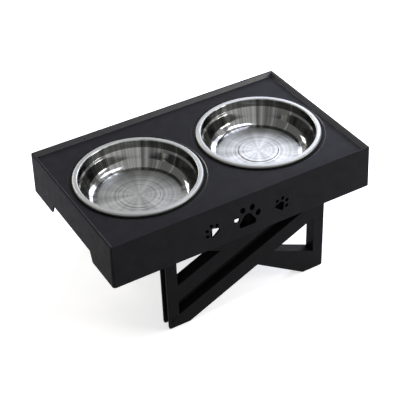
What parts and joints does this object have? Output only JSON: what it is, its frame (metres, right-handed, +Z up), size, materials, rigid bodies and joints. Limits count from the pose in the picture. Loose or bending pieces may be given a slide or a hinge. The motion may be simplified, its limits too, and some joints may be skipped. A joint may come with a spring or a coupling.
{
  "type": "dog feeder stand",
  "caption": "Raised feeding stand for a dog: a moulded tray with paw cut-outs holds lift-out steel bowls and stands on cross-braced leg panels that plug in behind its skirt.",
  "frame": {"origin": "on the floor under the middle of the stand", "axes": "+X along the tray towards the right bowl, -Y towards the front with the paw cut-outs, +Z up"},
  "size_m": [0.43, 0.265, 0.19],
  "materials": {
    "tray_plastic": "fine satin grain",
    "leg_plastic": "fine satin grain",
    "steel": "satin rim, polished inside",
    "pad_rubber": "matt"
  },
  "bodies": {
    "tray": {"tray": "tray_plastic"},
    "bowl_left": {"bowl_left": "steel"},
    "bowl_right": {"bowl_right": "steel"},
    "front_leg": {"front_left_post": "leg_plastic", "front_right_post": "leg_plastic", "front_lower_brace": "leg_plastic", "front_upper_brace": "leg_plastic", "front_brace_web": "leg_plastic", "front_lower_arm": "leg_plastic", "front_upper_arm": "leg_plastic", "front_upper_rail": "leg_plastic", "front_head_plate": "leg_plastic", "front_corner_plate": "leg_plastic", "front_left_pad": "pad_rubber", "front_right_pad": "pad_rubber"},
    "rear_leg": {"rear_left_post": "leg_plastic", "rear_right_post": "leg_plastic", "rear_lower_brace": "leg_plastic", "rear_upper_brace": "leg_plastic", "rear_brace_web": "leg_plastic", "rear_lower_arm": "leg_plastic", "rear_upper_arm": "leg_plastic", "rear_upper_rail": "leg_plastic", "rear_head_plate": "leg_plastic", "rear_corner_plate": "leg_plastic", "rear_left_pad": "pad_rubber", "rear_right_pad": "pad_rubber"}
  },
  "joints": [
    {"name": "bowl_left_lift", "type": "slide", "parent": "tray", "child": "bowl_left", "axis": [0, 0, 1], "range_m": [0, 0.05]},
    {"name": "bowl_right_lift", "type": "slide", "parent": "tray", "child": "bowl_right", "axis": [0, 0, 1], "range_m": [0, 0.05]},
    {"name": "front_leg_pull", "type": "slide", "parent": "tray", "child": "front_leg", "axis": [0, 0, -1], "range_m": [0, 0.06]},
    {"name": "rear_leg_pull", "type": "slide", "parent": "tray", "child": "rear_leg", "axis": [0, 0, -1], "range_m": [0, 0.06]}
  ]
}
